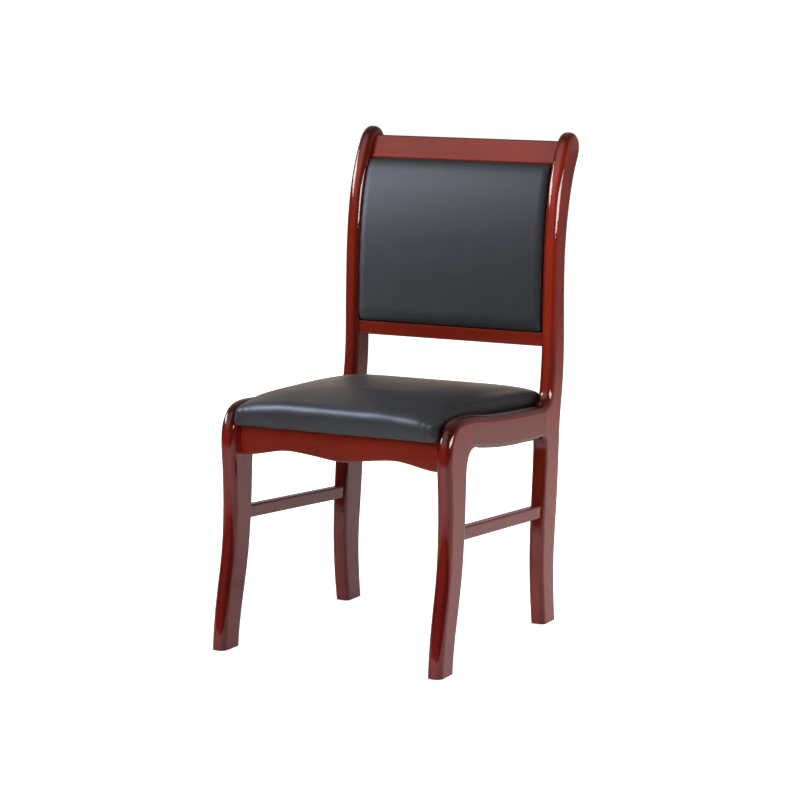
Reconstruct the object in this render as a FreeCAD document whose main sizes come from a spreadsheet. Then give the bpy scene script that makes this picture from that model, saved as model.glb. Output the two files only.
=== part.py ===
# Conference chair: a lacquered hardwood frame with a padded seat and a padded back.
# Millimetres, +Z up, the sitter faces -Y. Everything is laid out from the front feet, y = 0,
# and moved to the origin, the middle of the outline on the floor, at the end.
import FreeCAD, Part
import math
import os
import Sketcher

Vector = FreeCAD.Vector
Placement = FreeCAD.Placement
Rotation = FreeCAD.Rotation
doc = FreeCAD.newDocument("conference_chair")

# Driving dimensions
dimensions = {
    "depth_middle": 307.7,
    # side frames, which come closer together towards the rear
    "frame_spacing": 458.9,
    "toe_in_slope": 0.02102,
    "board_thickness": 31.0,
    "edge_radius": 13.0,
    "window_radius": 9.0,
    "knee_joint": 128.0,
    "upright_joint": 464.4,
    "tenon_length": 22.0,
    "tenon_thickness": 12.0,
    "tenon_height": 34.0,
    "front_tenon_level": 435.5,
    "rear_tenon_level": 406.0,
    "rail_clear": 340.0,
    "fit_gap": 0.1,
    "saw_overhang": 60.0,
    "saw_reach": 1200.0,
    # stretchers between the legs
    "stretcher_thickness": 20.0,
    "stretcher_height": 25.0,
    "stretcher_radius": 3.5,
    "stretcher_length": 394.0,
    "stretcher_middle": 277.5,
    "stretcher_level": 240.0,
    "stretcher_fall": 3.9,
    "core_length": 396.0,
    "core_thickness": 11.0,
    "core_height": 16.0,
    # rails that carry the seat
    "bearer_top": 430.0,
    "apron_front": 58.0,
    "apron_thickness": 20.0,
    "apron_bottom": 373.0,
    "apron_arch": 11.0,
    "rear_rail_front": 505.0,
    "rear_rail_thickness": 22.0,
    "rear_rail_height": 52.0,
    "rail_radius": 3.0,
    # cross rails of the back
    "crest_depth": 564.0,
    "crest_level": 899.5,
    "crest_height": 50.5,
    "crest_thickness": 24.0,
    "crest_lean": 27.3,
    "crest_radius": 4.0,
    "low_rail_front": 512.0,
    "low_rail_bottom": 546.0,
    "low_rail_height": 28.0,
    "low_rail_thickness": 24.0,
    # corner blocks and fasteners
    "block_leg": 52.0,
    "block_height": 40.0,
    "block_overhang": 6.0,
    "dowel_radius": 4.0,
    "dowel_length": 36.0,
    "dowel_drop": 12.0,
    "dowel_pitch": 26.0,
    "crest_dowel_step": 11.0,
    "low_dowel_drop": 3.0,
    "screw_radius": 2.0,
    "screw_head_radius": 4.0,
    "screw_head_height": 2.5,
    "seat_screw_length": 50.0,
    "block_screw_length": 36.0,
    "block_screw_shift": 13.0,
    "block_screw_height": 0.375,
    "drill_gap": 0.05,
    # feet
    "glide_thickness": 1.2,
    "glide_radius": 12.0,
    "nail_radius": 1.5,
    "nail_length": 16.0,
    "front_foot_middle": 19.5,
    "rear_foot_middle": 492.0,
    # seat cushion
    "cushion_front": 31.0,
    "cushion_rear": 512.0,
    "cushion_bottom": 431.0,
    "cushion_edge": 35.0,
    "cushion_crown": 20.0,
    "cushion_tilt": 0.8,
    "cushion_gap": 1.2,
    "cushion_corner": 8.0,
    "cover_thickness": 1.2,
    "seat_board_thickness": 12.0,
    "hem_width": 36.0,
    "dust_cover_thickness": 1.0,
    "dust_cover_inset": 14.0,
    "dust_cover_setback": 29.0,
    # back pad
    "pad_gap": 0.8,
    "pad_crown": 15.0,
    "pad_edge": -8.0,
    "pad_corner": 18.0,
    "pad_rim": 20.0,
    "pad_end": 0.0,
    "pad_end_crown": 1.0,
    "pad_shoulder": 0.6,
    "pad_bulge": 0.25,
    "hollow_overrun": 3.0,
    "back_board_front": 12.0,
    "back_board_thickness": 8.0,
    "back_board_tongue": 6.0,
    "rear_panel_thickness": 4.0,
    "layer_gap": 0.2,
}
sheet = doc.addObject("Spreadsheet::Sheet", "Sizes")
for row, (alias, value) in enumerate(dimensions.items(), start=1):
    sheet.set("A%d" % row, alias)
    sheet.set("B%d" % row, str(value))
    sheet.setAlias("B%d" % row, alias)
doc.recompute()


def size(alias):
    return float(sheet.get(alias))


# Outlines of a side frame seen from the side, as (depth, height)
floor_gap = size("glide_thickness")
leg_front = [(-10.1, floor_gap), (-4.9, 50), (7.1, 111), (21.6, 173), (29.6, 234), (31.7, 295), (29.8, 352)]
knee = [(27.2, 400.2), (31.3, 426.8), (42.7, 448.2), (62.1, 463.6), (83.9, 469), (107.5, 469.4)]
rail_top = [(150, 466.4), (192, 460.6), (235, 455.4), (300, 449.8), (367, 444.6), (430, 439.8), (462, 438.4)]
upright_front = [(478, 443), (487.3, 453.6), (492.2, 471), (498.9, 525), (500.9, 595), (502.7, 658),
                 (505.7, 722), (512.2, 785), (525.1, 848), (545.8, 904)]
upright_top = [(560.5, 931.7), (576.4, 951.3), (597.5, 960), (616.2, 952), (625.2, 935), (624.6, 921)]
upright_rear = [(611.5, 896), (579.8, 823), (563.9, 753), (558.4, 684), (558.7, 615), (559.8, 545),
                (555.3, 475), (543.6, 405), (538, 337), (532.8, 267), (524.8, 197), (517.3, 128),
                (518.2, 59), (523.9, floor_gap)]
rear_leg_front = [(463, floor_gap), (454.5, 62), (450.5, 135), (453.3, 208), (460, 282), (464.8, 345)]
rear_corner = [(465, 359), (461.7, 370), (453, 375.6)]
rail_bottom = [(436, 376.3), (393, 378), (346, 381), (299, 384.8), (253, 389.6), (208, 395.6), (170, 401.8)]
front_corner = [(149, 405.3), (129.5, 403.5), (116.5, 395.5), (109.5, 382)]
front_leg_rear = [(104.8, 350), (101, 285), (94.8, 223), (85, 165), (70.2, 107), (55.5, 48),
                  (48, floor_gap)]
frame_outside = leg_front + knee + rail_top + upright_front + upright_top + upright_rear
frame_inside = rear_leg_front + rear_corner + rail_bottom + front_corner + front_leg_rear


# Building helpers
def bind(item, **formulas):
    for prop, formula in formulas.items():
        item.setExpression(prop, formula)
    return item


def box(name, corner, length, width, height):
    item = bind(doc.addObject("Part::Box", name), Length=length, Width=width, Height=height)
    item.Placement = Placement(Vector(*corner), Rotation())
    return item


def cylinder(name, radius, height, place):
    item = bind(doc.addObject("Part::Cylinder", name), Radius=radius, Height=height)
    item.Placement = place
    return item


def joined(name, items):
    item = doc.addObject("Part::MultiFuse", name)
    item.Shapes = items
    return item


def cut(name, base, tools):
    item = doc.addObject("Part::Cut", name)
    item.Base = base
    item.Tool = tools[0] if len(tools) == 1 else joined(name + "_tools", tools)
    return item


def common(name, base, tool):
    item = doc.addObject("Part::Common", name)
    item.Base = base
    item.Tool = tool
    return item


def group(name, items):
    item = doc.addObject("Part::Compound", name)
    item.Links = items
    return item


def solid(name, shape):
    item = doc.addObject("Part::Feature", name)
    item.Shape = shape
    return item


def new_sketch(body, name, role):
    sketch = body.newObject("Sketcher::SketchObject", name)
    plane = [feature for feature in body.Origin.OriginFeatures if feature.Role == role][0]
    sketch.AttachmentSupport = [(plane, "")]
    sketch.MapMode = "FlatFace"
    return sketch


def spline(points):
    curve = Part.BSplineCurve()
    curve.interpolate([Vector(first, second, 0) for first, second in points])
    return curve


def line(start, end):
    return Part.LineSegment(Vector(start[0], start[1], 0), Vector(end[0], end[1], 0))


def pad(body, sketch, length, symmetric=False):
    feature = body.newObject("PartDesign::Pad", sketch.Name + "_pad")
    feature.Profile = sketch
    bind(feature, Length=length)
    feature.SideType = "Symmetric" if symmetric else "One side"
    doc.recompute()
    return feature


def round_over(body, base, edges, radius):
    feature = body.newObject("PartDesign::Fillet", base.Name + "_round")
    feature.Base = (base, edges)
    bind(feature, Radius=radius)
    doc.recompute()
    return feature


def edge_names(shape, wanted):
    return ["Edge%d" % number for number, edge in enumerate(shape.Edges, start=1) if wanted(edge)]


# A solid skinned smoothly over closed wires
def skinned(wires):
    ruled = False
    closed = False
    degree = 2
    return Part.makeLoft(wires, True, ruled, closed, degree)


# A straight bar along Y, its rectangular section centred on the axis and its long edges rounded
def bar(name, width, height, length, radius):
    body = doc.addObject("PartDesign::Body", name)
    sketch = new_sketch(body, name + "_section", "XZ_Plane")
    half = 5.0
    corners = [(-half, -half), (half, -half), (half, half), (-half, half)]
    for number in range(4):
        sketch.addGeometry(line(corners[number], corners[(number + 1) % 4]))
    for number in range(4):
        sketch.addConstraint(Sketcher.Constraint("Coincident", number, 2, (number + 1) % 4, 1))
    for number, direction in enumerate(["Horizontal", "Vertical", "Horizontal", "Vertical"]):
        sketch.addConstraint(Sketcher.Constraint(direction, number))
    sketch.addConstraint(Sketcher.Constraint("Symmetric", 0, 1, 1, 2, -1, 1))
    across = sketch.addConstraint(Sketcher.Constraint("DistanceX", 0, 1, 0, 2, 2 * half))
    upward = sketch.addConstraint(Sketcher.Constraint("DistanceY", 1, 1, 1, 2, 2 * half))
    bind(sketch, **{"Constraints[%d]" % across: width, "Constraints[%d]" % upward: height})
    block = pad(body, sketch, length, symmetric=True)
    round_over(body, block, edge_names(block.Shape, lambda edge: abs(edge.tangentAt(0).y) > 0.99), radius)
    return body


# Where the side frames stand
sides = {"left": -1, "right": 1}
toe_in = math.degrees(math.atan(size("toe_in_slope")))


def frame_place(side):
    across = Vector(side * size("frame_spacing") / 2, 0, 0)
    return Placement(across, Rotation(Vector(0, 0, 1), side * toe_in))


def inner_face(depth):
    return size("frame_spacing") / 2 - size("toe_in_slope") * depth - size("board_thickness") / 2


# The tapering space between the two side frames, less a gap on each side
def bay(name, gap, front, rear, bottom, top):
    half = "(Sizes.frame_spacing / 2 - Sizes.board_thickness / 2 - Sizes.toe_in_slope * (%s) - %s)"
    front_half = half % (front, gap)
    rear_half = half % (rear, gap)
    return bind(doc.addObject("Part::Wedge", name), Ymin=front, Ymax=rear,
                Zmin=bottom, Z2min=bottom, Zmax=top, Z2max=top,
                Xmin="-" + front_half, Xmax=front_half, X2min="-" + rear_half, X2max=rear_half)


frame_bay = bay("frame_bay", "Sizes.drill_gap", "-Sizes.saw_overhang", "Sizes.saw_reach",
                "0", "Sizes.saw_reach")
nodes = {}

# One whole side frame, which is then sawn into leg, rail and upright.
# Its outside is rounded more than the edges of its window and inner legs.
side_board = doc.addObject("PartDesign::Body", "side_board")
frame_sketch = new_sketch(side_board, "frame_outline", "YZ_Plane")
frame_sketch.addGeometry(spline(frame_outside))
frame_sketch.addGeometry(line(frame_outside[-1], frame_inside[0]))
frame_sketch.addGeometry(spline(frame_inside))
frame_sketch.addGeometry(line(frame_inside[-1], frame_outside[0]))
for number in range(4):
    frame_sketch.addConstraint(Sketcher.Constraint("Block", number))
blank = pad(side_board, frame_sketch, "Sizes.board_thickness", symmetric=True)
outline_top = blank.Shape.BoundBox.ZMax
outer = edge_names(blank.Shape, lambda edge: edge.BoundBox.ZMax > outline_top - size("edge_radius")
                   and edge.Curve.TypeId == "Part::GeomBSplineCurve")
rounded = round_over(side_board, blank, outer, "Sizes.edge_radius")
window_top = max(level for depth, level in frame_inside)
inner = edge_names(rounded.Shape, lambda edge: edge.Curve.TypeId == "Part::GeomBSplineCurve"
                   and abs(edge.BoundBox.ZMax - window_top) < size("window_radius")
                   and edge.BoundBox.YMax < size("upright_joint") + size("window_radius"))
round_over(side_board, rounded, inner, "Sizes.window_radius")

saw_left = -size("board_thickness")
saw_width = "Sizes.board_thickness * 2"
saw_front = -size("saw_overhang")
foot_front = size("upright_joint") - size("saw_overhang")
front_zone = box("front_zone", (saw_left, saw_front, saw_front), saw_width,
                 "Sizes.saw_overhang + Sizes.knee_joint", "Sizes.saw_reach")
rail_zone = box("rail_zone", (saw_left, size("knee_joint"), size("rail_clear")), saw_width,
                "Sizes.upright_joint - Sizes.knee_joint", "Sizes.saw_reach")
post_zone = box("post_zone", (saw_left, size("upright_joint"), saw_front), saw_width,
                "Sizes.saw_reach", "Sizes.saw_reach")
foot_zone = box("foot_zone", (saw_left, foot_front, saw_front), saw_width,
                "Sizes.saw_overhang", "Sizes.saw_overhang + Sizes.rail_clear")
rear_zone = joined("rear_zone", [post_zone, foot_zone])
front_leg_blank = common("front_leg_blank", side_board, front_zone)
side_rail_blank = common("side_rail_blank", side_board, rail_zone)
rear_upright_blank = common("rear_upright_blank", side_board, rear_zone)


# A box centred across the board, and the mortise that takes it
def tongue_and_mortise(name, start, level, thickness, length, height, turn=Rotation()):
    made = []
    for label, gap in ((name, 0.0), (name + "_mortise", size("fit_gap"))):
        grown = " + %g" % (2 * gap)
        item = box(label, (0, 0, 0), thickness + grown, length + grown, height + grown)
        doc.recompute()
        corner = Vector(-item.Length.Value / 2, -gap, -item.Height.Value / 2)
        item.Placement = Placement(Vector(0, start, level), turn) * Placement(corner, Rotation())
        made.append(item)
    return made


front_tenon, front_mortise = tongue_and_mortise(
    "front_tenon", size("knee_joint") - size("tenon_length"), size("front_tenon_level"),
    "Sizes.tenon_thickness", "Sizes.tenon_length", "Sizes.tenon_height")
rear_tenon, rear_mortise = tongue_and_mortise(
    "rear_tenon", size("upright_joint"), size("rear_tenon_level"),
    "Sizes.tenon_thickness", "Sizes.tenon_length", "Sizes.tenon_height")

# Stretcher: a bar scribed to both legs, on a thinner core whose ends are its tenons
stretcher_turn = Rotation(Vector(1, 0, 0), -size("stretcher_fall"))
stretcher_bar = bar("stretcher_bar", "Sizes.stretcher_thickness", "Sizes.stretcher_height",
                    "Sizes.stretcher_length", "Sizes.stretcher_radius")
stretcher_centre = Vector(0, size("stretcher_middle"), size("stretcher_level"))
stretcher_bar.Placement = Placement(stretcher_centre, stretcher_turn)
half_core = Vector(0, -size("core_length") / 2, 0)
core_start = stretcher_centre + stretcher_turn.multVec(half_core)
stretcher_core, stretcher_mortise = tongue_and_mortise(
    "stretcher_core", core_start.y, core_start.z,
    "Sizes.core_thickness", "Sizes.core_length", "Sizes.core_height", stretcher_turn)
stretcher_blank = cut("stretcher_blank", stretcher_bar, [side_board])

# Scalloped front apron
half_apron = [(45, 0.42), (85, 0.85), (116, 1.0), (148, 0.6), (176, 0.08), (225, 0.0)]
scallop = [(0.0, size("apron_bottom"))]
for across, rise in half_apron:
    point = (across, size("apron_bottom") + rise * size("apron_arch"))
    scallop.append(point)
    scallop.insert(0, (-across, point[1]))
apron_body = doc.addObject("PartDesign::Body", "apron_body")
apron_sketch = new_sketch(apron_body, "apron_outline", "XZ_Plane")
top_left = (scallop[0][0], size("bearer_top"))
top_right = (scallop[-1][0], size("bearer_top"))
apron_sketch.addGeometry(spline(scallop))
apron_sketch.addGeometry(line(scallop[-1], top_right))
apron_sketch.addGeometry(line(top_right, top_left))
apron_sketch.addGeometry(line(top_left, scallop[0]))
for number in range(4):
    apron_sketch.addConstraint(Sketcher.Constraint("Block", number))
apron_block = pad(apron_body, apron_sketch, "Sizes.apron_thickness")
scalloped = edge_names(apron_block.Shape, lambda edge: edge.Curve.TypeId == "Part::GeomBSplineCurve")
round_over(apron_body, apron_block, scalloped, "Sizes.rail_radius")
apron_rear = size("apron_front") + size("apron_thickness")
apron_body.Placement = Placement(Vector(0, apron_rear, 0), Rotation())


# A cross rail: a bar turned to run from side to side and trimmed by the side frames
def cross_rail(name, middle, thickness, height, radius, lean=0.0):
    body = bar(name + "_bar", thickness, height, "Sizes.frame_spacing", radius)
    turn = Rotation(Vector(1, 0, 0), -lean) * Rotation(Vector(0, 0, 1), -90)
    body.Placement = Placement(middle, turn)
    return common(name + "_blank", body, frame_bay)


apron_blank = common("apron_blank", apron_body, frame_bay)
rear_rail_middle = Vector(0, size("rear_rail_front") + size("rear_rail_thickness") / 2,
                          size("bearer_top") - size("rear_rail_height") / 2)
rear_rail_blank = cross_rail("rear_rail", rear_rail_middle, "Sizes.rear_rail_thickness",
                             "Sizes.rear_rail_height", "Sizes.rail_radius")
lean = math.radians(size("crest_lean"))
crest_up = Vector(0, math.sin(lean), math.cos(lean))
crest_back = Vector(0, math.cos(lean), -math.sin(lean))
crest_middle = (Vector(0, size("crest_depth"), size("crest_level")) + crest_up * (size("crest_height") / 2)
                + crest_back * (size("crest_thickness") / 2))
crest_blank = cross_rail("crest", crest_middle, "Sizes.crest_thickness", "Sizes.crest_height",
                         "Sizes.crest_radius", size("crest_lean"))
low_rail_middle = Vector(0, size("low_rail_front") + size("low_rail_thickness") / 2,
                         size("low_rail_bottom") + size("low_rail_height") / 2)
low_rail_blank = cross_rail("low_rail", low_rail_middle, "Sizes.low_rail_thickness",
                            "Sizes.low_rail_height", "Sizes.rail_radius")

# Dowels, half in the cross rail and half in the side frame, and the holes for them
dowel_level = size("bearer_top") - size("dowel_drop")
apron_axis = size("apron_front") + size("apron_thickness") / 2
crest_step = crest_up * size("crest_dowel_step")
dowel_places = {
    "apron": [Vector(0, apron_axis, dowel_level), Vector(0, apron_axis, dowel_level - size("dowel_pitch"))],
    "rear_rail": [Vector(0, rear_rail_middle.y, dowel_level),
                  Vector(0, rear_rail_middle.y, dowel_level - size("dowel_pitch"))],
    "crest_rail": [crest_middle + crest_step, crest_middle - crest_step],
    "lower_rail": [low_rail_middle - Vector(0, 0, size("low_dowel_drop"))],
}
along_x = Rotation(Vector(0, 1, 0), 90)
dowel_holes = {}
for rail, points in dowel_places.items():
    dowels = []
    for label, side in sides.items():
        for number, point in enumerate(points):
            centre = Vector(side * inner_face(point.y), point.y, point.z)
            name = "%s_dowel_%s_%d" % (rail, label, number)
            start = centre - Vector(size("dowel_length") / 2, 0, 0)
            dowels.append(cylinder(name, "Sizes.dowel_radius", "Sizes.dowel_length",
                                   Placement(start, along_x)))
            end_gap = Vector(size("fit_gap"), 0, 0)
            hole = Placement(start - end_gap, along_x)
            dowel_holes.setdefault(rail, []).append((side, name + "_hole", hole))
    nodes[rail + "_dowels"] = group(rail + "_dowels", dowels)


# A hole drilled for a dowel, placed in the frame of the piece that it is drilled in
def dowel_hole(name, place, frame=Placement()):
    return cylinder(name, "Sizes.dowel_radius + Sizes.drill_gap", "Sizes.dowel_length + 2 * Sizes.fit_gap",
                    frame.inverse() * place)


# Screws: a pan head on a plain shank, along +Z before they are placed
def screw(name, length, place):
    shank = cylinder(name + "_shank", "Sizes.screw_radius", length, Placement())
    head = cylinder(name + "_head", "Sizes.screw_head_radius", "Sizes.screw_head_height",
                    Placement(Vector(0, 0, -size("screw_head_height")), Rotation()))
    item = joined(name, [head, shank])
    item.Placement = place
    return item


def screw_hole(name, length, place, frame=Placement()):
    return cylinder(name, "Sizes.screw_radius + Sizes.drill_gap", length + " + Sizes.fit_gap",
                    frame.inverse() * place)


# Corner blocks, with a screw up into the seat and two slanting into the rail and the leg or upright
block_corners = {
    "front": (apron_rear, 1, apron_blank),
    "rear": (size("rear_rail_front"), -1, rear_rail_blank),
}
block_bottom = size("bearer_top") - size("block_height")
seat_screws = []
block_screws = []
seat_screw_places = []
rail_screw_holes = {"front": [], "rear": []}
frame_screw_holes = {}
for end, (depth, way, blank) in block_corners.items():
    for label, side in sides.items():
        name = "corner_block_%s_%s" % (end, label)
        edge = inner_face(depth)
        leg = size("block_leg")
        spare = size("block_overhang")
        triangle = [(side * (edge + spare), depth), (side * (edge - leg), depth),
                    (side * (edge + spare), depth + way * (leg + spare))]
        body = doc.addObject("PartDesign::Body", name + "_body")
        sketch = new_sketch(body, name + "_plan", "XY_Plane")
        for number in range(3):
            sketch.addGeometry(line(triangle[number], triangle[(number + 1) % 3]))
        pad(body, sketch, "Sizes.block_height")
        body.Placement = Placement(Vector(0, 0, block_bottom), Rotation())
        trimmed = common(name + "_blank", body, frame_bay)

        upward = Vector(side * (edge - leg / 3), depth + way * leg / 3, block_bottom)
        seat_place = Placement(upward, Rotation())
        seat_screw_places.append(seat_place)
        seat_screws.append(screw(name + "_seat_screw", "Sizes.seat_screw_length", seat_place))
        holes = [screw_hole(name + "_seat_hole", "Sizes.seat_screw_length", seat_place)]
        inward = Vector(side, -way, 0).normalize()
        shift = size("block_screw_shift") / math.sqrt(2)
        for number, slide in enumerate((shift, -shift)):
            start = Vector(side * (edge - leg / 2 + slide), depth + way * (leg / 2 + slide),
                           block_bottom + size("block_height") * size("block_screw_height"))
            place = Placement(start, Rotation(Vector(0, 0, 1), inward))
            screw_name = "%s_screw_%d" % (name, number)
            block_screws.append(screw(screw_name, "Sizes.block_screw_length", place))
            holes.append(screw_hole(screw_name + "_hole", "Sizes.block_screw_length", place))
            if number == 0:
                frame_screw_holes[(end, side)] = (screw_name + "_frame_hole", place)
            else:
                rail_screw_holes[end].append((screw_name + "_rail_hole", place))
        nodes[name] = cut(name, trimmed, holes)
nodes["corner_block_screws"] = group("corner_block_screws", block_screws)
nodes["seat_screws"] = group("seat_screws", seat_screws)

# The curve that the back pad follows, from the top of the lower rail to the foot of the crest
back_line = [(512.5, 574), (513.2, 610), (514.9, 660), (518.3, 722), (525.5, 785), (539, 846),
             (562.3, 899.5)]
back_curve = Part.BSplineCurve()
back_curve.interpolate([Vector(0, depth, level) for depth, level in back_line])
back_length = back_curve.length()


# Point, direction and rearward normal of the back curve, which runs on straight past its ends
def back_station(distance):
    inside = min(max(distance, 0.0), back_length)
    parameter = back_curve.parameterAtDistance(inside, back_curve.FirstParameter)
    along = Vector(*back_curve.tangent(parameter)[0])
    point = back_curve.value(parameter) + along * (distance - inside)
    return point, Vector(0, along.z, -along.y)


def back_points(distance, pairs):
    point, rearward = back_station(distance)
    return [point + Vector(across, 0, 0) + rearward * behind for across, behind in pairs]


def evenly(start, end, count):
    return [start + (end - start) * number / (count - 1) for number in range(count)]


# A sheet bent to the back curve, reaching past the opening by a tongue all round
def bent_sheet(front, rear, tongue):
    wires = []
    stations = 11
    for distance in evenly(-tongue, back_length + tongue, stations):
        half = inner_face(back_station(distance)[0].y) + tongue
        corners = back_points(distance, [(-half, front), (half, front), (half, rear), (-half, rear)])
        wires.append(Part.makePolygon(corners + corners[:1]))
    return skinned(wires)


# The swelling front of the back pad, less a skin, reaching back to the board or past it
def pad_form(skin, past=0.0):
    wires = []
    start = size("pad_gap") + skin
    end = back_length - size("pad_gap") - skin
    rim = size("pad_rim")
    distances = [start, start + 0.2 * rim, start + 0.5 * rim, start + rim]
    distances += evenly(start + 2.5 * rim, end - 2.5 * rim, 4)
    distances += [end - rim, end - 0.5 * rim, end - 0.2 * rim, end]
    for distance in distances:
        nearness = min(min(distance - start, end - distance) / rim, 1.0)
        swell = math.sqrt(1 - (1 - nearness) ** 2)
        half = inner_face(back_station(distance)[0].y) - size("pad_gap") - skin
        board = size("back_board_front") - size("layer_gap") + past
        side_edge = size("pad_end") - (size("pad_end") - size("pad_edge")) * swell + skin
        crown_rise = (size("pad_end") + size("pad_crown")) * swell
        middle = size("pad_end") - size("pad_end_crown") - crown_rise + skin
        shoulder = side_edge + (middle - side_edge) * size("pad_shoulder")
        corner = size("pad_corner")
        bulge = size("pad_bulge") * corner
        round_middle = (side_edge + shoulder) / 2
        pairs = [(-half, board), (half, board), (half, side_edge), (half - bulge, round_middle),
                 (half - corner, shoulder), (0, middle), (corner - half, shoulder),
                 (bulge - half, round_middle), (-half, side_edge)]
        spots = back_points(distance, pairs)
        edges = [Part.LineSegment(spots[0], spots[1]), Part.LineSegment(spots[1], spots[2]),
                 Part.Arc(spots[2], spots[3], spots[4]), Part.Arc(spots[4], spots[5], spots[6]),
                 Part.Arc(spots[6], spots[7], spots[8]), Part.LineSegment(spots[8], spots[0])]
        wires.append(Part.Wire([edge.toShape() for edge in edges]))
    return skinned(wires)


board_rear = size("back_board_front") + size("back_board_thickness")
nodes["back_board"] = solid("back_board", bent_sheet(
    size("back_board_front"), board_rear, size("back_board_tongue")))
nodes["back_rear_panel"] = solid("back_rear_panel", bent_sheet(
    board_rear + size("layer_gap"), board_rear + size("rear_panel_thickness"), -size("pad_gap")))
nodes["back_foam"] = solid("back_foam", pad_form(size("cover_thickness")))
pad_block = solid("pad_block", pad_form(0.0))
pad_hollow = solid("pad_hollow", pad_form(size("cover_thickness"), past=size("hollow_overrun")))
nodes["back_cover"] = cut("back_cover", pad_block, [pad_hollow])
groove_gap = 2 * size("fit_gap")
groove_shape = bent_sheet(size("back_board_front") - size("fit_gap"), board_rear + size("fit_gap"),
                          size("back_board_tongue") + groove_gap)


def groove(name, frame=Placement()):
    item = solid(name, groove_shape)
    item.Placement = frame.inverse()
    return item


# Cross rails with their holes and grooves
rail_nodes = {
    "front_apron": (apron_blank, "apron", "front", False),
    "rear_seat_rail": (rear_rail_blank, "rear_rail", "rear", False),
    "crest_rail": (crest_blank, "crest_rail", None, True),
    "lower_back_rail": (low_rail_blank, "lower_rail", None, True),
}
for name, (blank, dowel_set, screw_set, grooved) in rail_nodes.items():
    tools = [dowel_hole("%s_%s" % (name, label), place) for side, label, place in dowel_holes[dowel_set]]
    tools += [screw_hole(label, "Sizes.block_screw_length", place)
              for label, place in rail_screw_holes.get(screw_set, [])]
    if grooved:
        tools.append(groove(name + "_groove"))
    nodes[name] = cut(name, blank, tools)

# Side frames with their mortises and holes, and the glides under their feet
feet = {"front": size("front_foot_middle"), "rear": size("rear_foot_middle")}
frame_nodes = {}
for label, side in sides.items():
    frame = frame_place(side)
    drilled = {"front": [front_mortise], "rear": [rear_mortise]}
    for end in ("front", "rear"):
        spot = Vector(0, feet[end], floor_gap)
        drilled[end].append(stretcher_mortise)
        under_foot = Placement(spot, Rotation())
        drilled[end].append(cylinder("nail_hole_%s_%s" % (end, label),
                                     "Sizes.nail_radius + Sizes.drill_gap",
                                     "Sizes.nail_length + Sizes.fit_gap", under_foot))
        hole_name, place = frame_screw_holes[(end, side)]
        drilled[end].append(screw_hole(hole_name, "Sizes.block_screw_length", place, frame))
        glide = "foot_glide_%s_%s" % (end, label)
        disc = cylinder(glide + "_disc", "Sizes.glide_radius", "Sizes.glide_thickness",
                        Placement(spot - Vector(0, 0, floor_gap), Rotation()))
        nail = cylinder(glide + "_nail", "Sizes.nail_radius", "Sizes.nail_length", under_foot)
        frame_nodes[glide] = (joined(glide, [disc, nail]), frame)
    for rail, rail_holes in dowel_holes.items():
        end = "front" if rail == "apron" else "rear"
        for hole_side, hole_name, place in rail_holes:
            if hole_side == side:
                drilled[end].append(dowel_hole(hole_name + "_frame", place, frame))
    drilled["rear"].append(groove("groove_" + label, frame))
    name = "front_leg_" + label
    frame_nodes[name] = (cut(name, front_leg_blank, drilled["front"]), frame)
    name = "rear_upright_" + label
    frame_nodes[name] = (cut(name, rear_upright_blank, drilled["rear"]), frame)
    name = "side_rail_" + label
    frame_nodes[name] = (joined(name, [side_rail_blank, front_tenon, rear_tenon]), frame)
    name = "side_stretcher_" + label
    frame_nodes[name] = (joined(name, [stretcher_blank, stretcher_core]), frame)


# Seat cushion: rounded rings, drawn in at the foot, swelling at the sides and crowned on top
def rounded_ring(corners, radius, level):
    edges = []
    count = len(corners)
    starts = []
    ends = []
    for number, corner in enumerate(corners):
        before = (corners[number - 1] - corner).normalize()
        after = (corners[(number + 1) % count] - corner).normalize()
        half_angle = before.getAngle(after) / 2
        reach = radius / math.tan(half_angle)
        bisector = (before + after).normalize()
        peak = corner + bisector * (radius / math.sin(half_angle) - radius)
        starts.append(corner + after * reach)
        ends.append(corner + before * reach)
        edges.append(Part.Arc(ends[number], peak, starts[number]))
    ring = []
    for number in range(count):
        ring.append(edges[number].toShape())
        ring.append(Part.LineSegment(starts[number], ends[(number + 1) % count]).toShape())
    wire = Part.Wire(ring)
    wire.translate(Vector(0, 0, level))
    return wire


def seat_ring(side_inset, end_inset, radius, level, tilt):
    front = size("cushion_front") + end_inset
    rear = size("cushion_rear") - end_inset
    front_half = inner_face(front) - size("cushion_gap") - side_inset
    rear_half = inner_face(rear) - size("cushion_gap") - side_inset
    corners = [Vector(-front_half, front, 0), Vector(front_half, front, 0),
               Vector(rear_half, rear, 0), Vector(-rear_half, rear, 0)]
    ring = rounded_ring(corners, radius, level)
    ring.rotate(Vector(0, (front + rear) / 2, level), Vector(1, 0, 0), -tilt)
    return ring


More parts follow.
